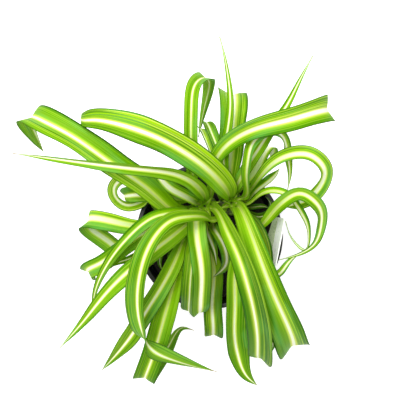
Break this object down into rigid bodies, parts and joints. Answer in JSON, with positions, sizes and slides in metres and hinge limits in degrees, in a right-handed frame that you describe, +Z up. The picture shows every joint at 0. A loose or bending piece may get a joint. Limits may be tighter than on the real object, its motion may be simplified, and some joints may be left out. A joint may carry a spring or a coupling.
{
  "type": "potted spider plant",
  "caption": "Variegated spider plant with arching strap leaves in a round plastic nursery pot, with a blank plant label in the soil.",
  "frame": {"origin": "centre of the pot's base, in the plane that the pot stands on", "axes": "+Z up; +Y towards the back of the plant, which is the top edge of the picture; +X to the picture's right"},
  "size_m": [0.2415, 0.2865, 0.2437],
  "materials": {
    "leaf": "soft satin, bright green edges with a cream stripe along the middle",
    "crown": "pale green leaf bases, matte",
    "pot": "black, satin moulded plastic",
    "soil": "damp dark potting mix with bits of bark",
    "label": "thin pale satin plastic, bare"
  },
  "bodies": {
    "root": {"pot": "pot", "soil": "soil", "plant_label": "label", "crown_main": "crown", "crown_left": "crown", "crown_front": "crown", "crown_right": "crown", "main_leaf_01": "leaf", "main_leaf_02": "leaf", "main_leaf_03": "leaf", "main_leaf_04": "leaf", "main_leaf_05": "leaf", "main_leaf_06": "leaf", "main_leaf_07": "leaf", "main_leaf_08": "leaf", "main_leaf_09": "leaf", "main_leaf_10": "leaf", "main_leaf_11": "leaf", "main_leaf_12": "leaf", "main_leaf_13": "leaf", "main_leaf_14": "leaf", "main_leaf_15": "leaf", "main_leaf_16": "leaf", "main_leaf_17": "leaf", "left_leaf_01": "leaf", "left_leaf_02": "leaf", "left_leaf_03": "leaf", "left_leaf_04": "leaf", "left_leaf_05": "leaf", "left_leaf_06": "leaf", "left_leaf_07": "leaf", "left_leaf_08": "leaf", "left_leaf_09": "leaf", "left_leaf_10": "leaf", "left_leaf_11": "leaf", "left_leaf_12": "leaf", "left_leaf_13": "leaf", "front_leaf_01": "leaf", "front_leaf_02": "leaf", "front_leaf_03": "leaf", "front_leaf_04": "leaf", "front_leaf_05": "leaf", "front_leaf_06": "leaf", "front_leaf_07": "leaf", "front_leaf_08": "leaf", "front_leaf_09": "leaf", "front_leaf_10": "leaf", "front_leaf_11": "leaf", "right_leaf_01": "leaf", "right_leaf_02": "leaf", "right_leaf_03": "leaf", "right_leaf_04": "leaf"}
  },
  "joints": []
}
